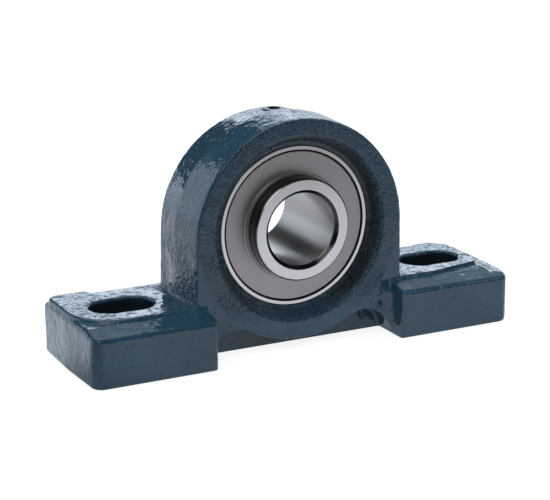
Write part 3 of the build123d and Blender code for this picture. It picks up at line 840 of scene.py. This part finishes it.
class CASTING_OT_fitting(bpy.types.Operator):
    """Turn the flush grease fitting in the top of the arch"""

    bl_idname = "pillow.fitting"
    bl_label = "Grease Fitting"

    def execute(self, context):
        # The fitting is painted near black as shade, so that it looks like a shaded hole in the arch
        shaded_fitting = sheet_material("fitting_painted_shade", context.scene.pillow_casting.fitting, 0.25)
        mouth_r, cone_r, body_r, hollow_r = 0.75, 1.8, 3.0, 1.25
        cone, hollow_top, hollow_end, end = -1.0, -1.25, -5.2, -5.8
        line = [(mouth_r, hollow_top), (mouth_r, cone), (cone_r, 0), (body_r, 0), (body_r, end), (mouth_r, end),
                (mouth_r, hollow_end), (hollow_r, hollow_end), (hollow_r, hollow_top), (mouth_r, hollow_top)]
        radii = [r * MM for r in (0, 0.05, 0.12, 0.25, 0.1, 0, 0, 0, 0, 0)]
        item = turned("flush_fitting", rounded(millimetres(line), radii), shaded_fitting, segments=72)
        settle(item, Matrix.Translation((0, FITTING_Y, TOP_Z)), "housing", "fitting_steel", "grease_fitting")
        return {"FINISHED"}


class CASTING_OT_spring(bpy.types.Operator):
    """Make the fitting's spring as a fixed copy of its solid, in bright wire; the real one shortens as the check ball
    is pushed in
    """

    bl_idname = "pillow.spring"
    bl_label = "Grease Spring"

    def execute(self, context):
        coil = new_object("coil_spring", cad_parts["grease_spring"].data.copy())
        coil.data.materials.clear()
        coil.data.materials.append(sheet_material("bright_wire", context.scene.pillow_casting.wire, 0.3))
        settle(coil, Matrix(), "housing", "spring_steel", "grease_spring")
        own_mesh(coil)
        return {"FINISHED"}


# The insert

def screw_matrix(node):
    """From a piece on Z to a set screw's line, outwards from the shaft's axis."""
    low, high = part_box(node)
    centre = (low + high) / 2
    outwards = Vector((centre.x, 0, centre.z - SHAFT_Z))
    turn = Vector((0, 0, 1)).rotation_difference(outwards.normalized()).to_matrix().to_4x4()
    return Matrix.Translation((0, centre.y, SHAFT_Z)) @ turn


class INSERT_OT_rings(bpy.types.Operator):
    """Turn the outer and the inner ring, with ground faces and rounded edges"""

    bl_idname = "pillow.rings"
    bl_label = "Rings"

    def execute(self, context):
        settings = context.scene.pillow_insert
        self.outer_ring(settings, ring_material("ground_steel", settings.ring, 0.2))
        self.inner_ring(settings, ring_material("ground_inner_ring", settings.ring, 0.2, bands=True))
        return {"FINISHED"}

    @staticmethod
    def outer_ring(settings, steel):
        """The ring with the spherical outside, its seal grooves and its raceway."""
        sphere, half, lip_r, edge = 23.5, 8.0, 21.036, 0.2
        groove_r, groove_low, groove_high = 21.496, 5.7, 6.7
        shoulder_r, race_half, race = 19.198, 3.3, [(20.3, 1.6), (20.748, 0)]
        face_r = math.sqrt(sphere ** 2 - half ** 2) - edge
        inside = [(lip_r, half), (lip_r, groove_high), (groove_r, groove_high), (groove_r, groove_low),
                  (shoulder_r, groove_low), (shoulder_r, race_half), *race]
        line = [(face_r, half)] + inside + [(r, -z) for r, z in reversed(inside[:-1])] + [(face_r, -half)]
        line += arc_points(sphere, half - edge, steps=20) + [(face_r, half)]
        radii = [0.06 * MM if abs(z) == half else 0 for _, z in line]
        item = turned("outer_race", rounded(millimetres(line), radii), steel, settings.segments)
        settle(item, along_shaft(), "outer_ring", "ring_steel", "outer_ring")

    @staticmethod
    def inner_ring(settings, steel):
        """The wide ring with the shaft's bore, its raceway and the set screws' tapped holes."""
        front, back, out_r, bore_r = 12.7, -18.3, 14.1, 10.0
        chamfer, bore_chamfer, start = 0.45, 1.05, 3.3
        race = [(out_r, -3.2), (13.0, -1.7), (12.75, 0), (13.0, 1.7), (out_r, 3.2)]
        corners = [(out_r, front - chamfer), (out_r - chamfer, front), (bore_r + bore_chamfer, front),
                   (bore_r, front - bore_chamfer), (bore_r, back + bore_chamfer), (bore_r + bore_chamfer, back),
                   (out_r - chamfer, back), (out_r, back + chamfer)]
        line = [(out_r, start), *corners, *race, (out_r, start)]
        radii = [0] + [settings.edge] * len(corners) + [0] * (len(race) + 1)
        item = moved(turned("inner_race", rounded(millimetres(line), radii), steel, settings.segments),
                     along_shaft())
        tap_r, tap_low, tap_high = 3.0, 5, 20
        tap = millimetres([(0, tap_low), (tap_r, tap_low), (tap_r, tap_high), (0, tap_high)])
        for name in SET_SCREWS:
            cut(item, moved(turned("tap", tap, None, segments=48), screw_matrix(name)))
        settle(item, Matrix(), "inner_ring", "ring_steel", "inner_ring")


class INSERT_OT_flingers(bpy.types.Operator):
    """Turn the sheet steel flingers in front of the seals"""

    bl_idname = "pillow.flingers"
    bl_label = "Flingers"

    def execute(self, context):
        settings = context.scene.pillow_insert
        satin = sheet_material("satin_sheet", settings.flinger, 0.42)
        face, sheet, ring_r, rim_r, bend = 7.75, 0.6, 14.1, 20.536, 0.8
        collar = face + bend
        line = [(ring_r, face - sheet), (ring_r, collar), (ring_r + sheet, collar), (ring_r + sheet, face),
                (rim_r, face), (rim_r, face - sheet), (ring_r, face - sheet)]
        radii = [r * MM for r in (0, 0.1, 0.15, 0.85 * bend, 0.22, 0.1, 0)]
        profile = rounded(millimetres(line), radii, steps=8)
        for side, name in ((1, "front_flinger"), (-1, "rear_flinger")):
            item = turned(name + "_disc", profile, satin, settings.segments)
            settle(item, along_shaft(side), "inner_ring", "flinger_steel", name)
        return {"FINISHED"}


class INSERT_OT_set_screws(bpy.types.Operator):
    """Cut the threaded set screws with their sockets"""

    bl_idname = "pillow.set_screws"
    bl_label = "Set Screws"

    def execute(self, context):
        settings = context.scene.pillow_insert
        black = ring_material("black_oxide", settings.screw, 0.4)
        radius, point_r, low, high = 2.93, 1.8, 10.15, 15.35
        point, chamfer, steps = 0.9, 0.3, 60
        start, end = low + point, high - chamfer
        thread = [(radius, start + (end - start) * k / steps) for k in range(steps + 1)]
        profile = millimetres([(0, low), (point_r, low), *thread, (radius - chamfer, high), (0, high)])
        for name in SET_SCREWS:
            item = turned(name + "_threaded", profile, black, 72, (radius * MM, settings.thread_pitch, 0.5 * MM))
            cut(item, self.socket(high * MM, 3 * MM, 2.4 * MM))
            settle(item, screw_matrix(name), name, "screw_steel", name)
        return {"FINISHED"}

    @staticmethod
    def socket(top, across_flats, depth):
        """What the hexagon socket takes out of a screw's end."""
        mesh = bpy.data.meshes.new("socket")
        radius = across_flats / 2 / math.cos(math.pi / 6)
        work = bmesh.new()
        bmesh.ops.create_cone(work, cap_ends=True, segments=6, radius1=radius, radius2=radius, depth=2 * depth)
        bmesh.ops.translate(work, verts=work.verts, vec=(0, 0, top))
        work.to_mesh(mesh)
        work.free()
        return new_object("socket", mesh)


class INSERT_OT_inner_parts(bpy.types.Operator):
    """Finish the balls, cage and seals, which keep their solid's shape"""

    bl_idname = "pillow.inner_parts"
    bl_label = "Inner Parts"

    def execute(self, context):
        settings = context.scene.pillow_insert
        balls = [f"ball_{i}" for i in range(1, 9)]
        repaint(ring_material("polished_balls", settings.ball, 0.06, 0.001 * MM), *balls, "grease_check_ball")
        repaint(sheet_material("pressed_cage", settings.cage, 0.35), "cage_front", "cage_rear", "cage_rivets")
        repaint(rubber_material(settings.rubber), "front_seal_core", "rear_seal_core", "front_seal_lip",
                "rear_seal_lip")
        return {"FINISHED"}


# The studio

def shine_colour(tree, settings, glossy):
    """White, but the cool tone of the studio for what shows in reflections."""
    return mix_colour(tree, glossy, (1, 1, 1), settings.shine)


def lamp(name, at, size, power):
    """A square soft panel that points at the object."""
    data = bpy.data.lights.new(name, "AREA")
    data.size = size
    data.energy = power
    item = new_object(name, data)
    item.location = at
    item.rotation_euler = (Vector(LAMP_AIM) - Vector(at)).to_track_quat("-Z", "Y").to_euler()


class STAGE_OT_studio(bpy.types.Operator):
    """Set the floor, the lamps, the surroundings and the camera"""

    bl_idname = "pillow.studio"
    bl_label = "Studio"

    def execute(self, context):
        settings = context.scene.pillow_stage
        scene = context.scene
        scene.view_settings.view_transform = "Standard"
        self.camera(scene, settings)
        self.floor(settings)
        self.world(scene, settings)
        for name, at, size, share in LAMPS:
            lamp(name, at, size, settings.key * share)
        return {"FINISHED"}

    @staticmethod
    def camera(scene, settings):
        """The photograph's viewpoint."""
        data = bpy.data.cameras.new("camera")
        data.lens = settings.lens
        data.sensor_width = 36
        data.clip_start, data.clip_end = 0.01, 100
        item = new_object("camera", data)
        a, e = settings.azimuth, settings.elevation
        back = Vector((math.sin(a) * math.cos(e), -math.cos(a) * math.cos(e), math.sin(e)))
        item.location = Vector(settings.aim) + back * settings.distance
        item.rotation_euler = (-back).to_track_quat("-Z", "Y").to_euler()
        scene.camera = item

    @staticmethod
    def floor(settings, size=4.0):
        """Paper, white to the camera, that takes a shadow; reflections see it light near the object only."""
        mesh = bpy.data.meshes.new("floor")
        mesh.from_pydata([(-size, -size, 0), (size, -size, 0), (size, size, 0), (-size, size, 0)], [],
                         [(0, 1, 2, 3)])
        item = new_object("floor", mesh)
        paint = bpy.data.materials.new("floor_paper")
        paint.use_nodes = True
        tree = paint.node_tree
        tree.nodes.clear()
        diffuse = tree.nodes.new("ShaderNodeBsdfDiffuse")
        diffuse.inputs["Color"].default_value = (*[settings.floor] * 3, 1)
        path = tree.nodes.new("ShaderNodeLightPath").outputs
        x, y, _ = xyz(tree, tree.nodes.new("ShaderNodeTexCoord").outputs["Object"])
        front = product(tree, remap(tree, y, *FRONT_FLOOR_Y), remap(tree, x, *FRONT_FLOOR_X), settings.front_shine)
        behind = product(tree, remap(tree, y, *BACK_FLOOR_START), remap(tree, y, *BACK_FLOOR_END),
                         settings.back_shine)
        seen = total(tree, product(tree, path["Is Camera Ray"], settings.floor_glow),
                     product(tree, path["Is Glossy Ray"], largest(tree, front, behind)))
        glow = tree.nodes.new("ShaderNodeEmission")
        link(tree, seen, glow.inputs["Strength"])
        link(tree, shine_colour(tree, settings, path["Is Glossy Ray"]), glow.inputs["Color"])
        both = tree.nodes.new("ShaderNodeAddShader")
        link(tree, diffuse.outputs[0], both.inputs[0])
        link(tree, glow.outputs[0], both.inputs[1])
        link(tree, both.outputs[0], tree.nodes.new("ShaderNodeOutputMaterial").inputs[0])
        mesh.materials.append(paint)

    @staticmethod
    def world(scene, settings):
        """White to the camera, a soft even light, and panels behind the object that only reflections see."""
        world = bpy.data.worlds.new("studio")
        scene.world = world
        world.use_nodes = True
        tree = world.node_tree
        tree.nodes.clear()
        path = tree.nodes.new("ShaderNodeLightPath").outputs
        x, y, z = xyz(tree, tree.nodes.new("ShaderNodeTexCoord").outputs["Generated"])
        aside = value_node(tree, "DIVIDE", x, largest(tree, y, 0.05))
        right = product(tree, *(remap(tree, z, *edges) for edges in RIGHT_PANEL_HEIGHTS),
                        remap(tree, aside, *RIGHT_PANEL_SIDE))
        left = product(tree, remap(tree, aside, *LEFT_PANEL_SIDE), remap(tree, z, *LEFT_PANEL_HEIGHT))
        wall = product(tree, largest(tree, right, left, remap(tree, z, *LOW_STRIP_HEIGHT)),
                       remap(tree, y, 0.0, 0.3), settings.panel_shine)
        camera, glossy, through = (path[f"Is {kind} Ray"] for kind in ("Camera", "Glossy", "Transmission"))
        other = inverse(tree, value_node(tree, "MINIMUM", total(tree, camera, glossy, through), 1.0))
        strength = total(tree, camera, product(tree, glossy, largest(tree, wall, LEAST_SHINE)), through,
                         product(tree, other, settings.ambient))
        sky = tree.nodes.new("ShaderNodeBackground")
        link(tree, strength, sky.inputs["Strength"])
        link(tree, shine_colour(tree, settings, glossy), sky.inputs["Color"])
        link(tree, sky.outputs[0], tree.nodes.new("ShaderNodeOutputWorld").inputs[0])


# The add-on

SETTINGS = {"pillow_casting": CastingSettings, "pillow_insert": InsertSettings, "pillow_stage": StageSettings}
PIECES = (CASTING_OT_housing, CASTING_OT_fitting, CASTING_OT_spring, INSERT_OT_rings, INSERT_OT_flingers,
          INSERT_OT_set_screws, INSERT_OT_inner_parts, STAGE_OT_studio)


class VIEW3D_PT_pillow_block(bpy.types.Panel):
    """Settings and steps of the pillow block bearing"""

    bl_label = "Pillow Block"
    bl_space_type = "VIEW_3D"
    bl_region_type = "UI"
    bl_category = "Pillow Block"

    def draw(self, context):
        for name, group in SETTINGS.items():
            box = self.layout.box()
            for setting in group.__annotations__:
                box.prop(getattr(context.scene, name), setting)
        for piece in PIECES:
            self.layout.operator(piece.bl_idname)


CLASSES = (*SETTINGS.values(), *PIECES, VIEW3D_PT_pillow_block)


def register():
    """Makes the classes and the scene's settings known."""
    for item in CLASSES:
        bpy.utils.register_class(item)
    for name, group in SETTINGS.items():
        setattr(bpy.types.Scene, name, bpy.props.PointerProperty(type=group))


def unregister():
    """Takes them away again."""
    for name in SETTINGS:
        delattr(bpy.types.Scene, name)
    for item in reversed(CLASSES):
        bpy.utils.unregister_class(item)


def main():
    """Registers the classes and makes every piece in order."""
    register()
    for piece in PIECES:
        group, name = piece.bl_idname.split(".")
        getattr(getattr(bpy.ops, group), name)()


if __name__ == "__main__":
    main()
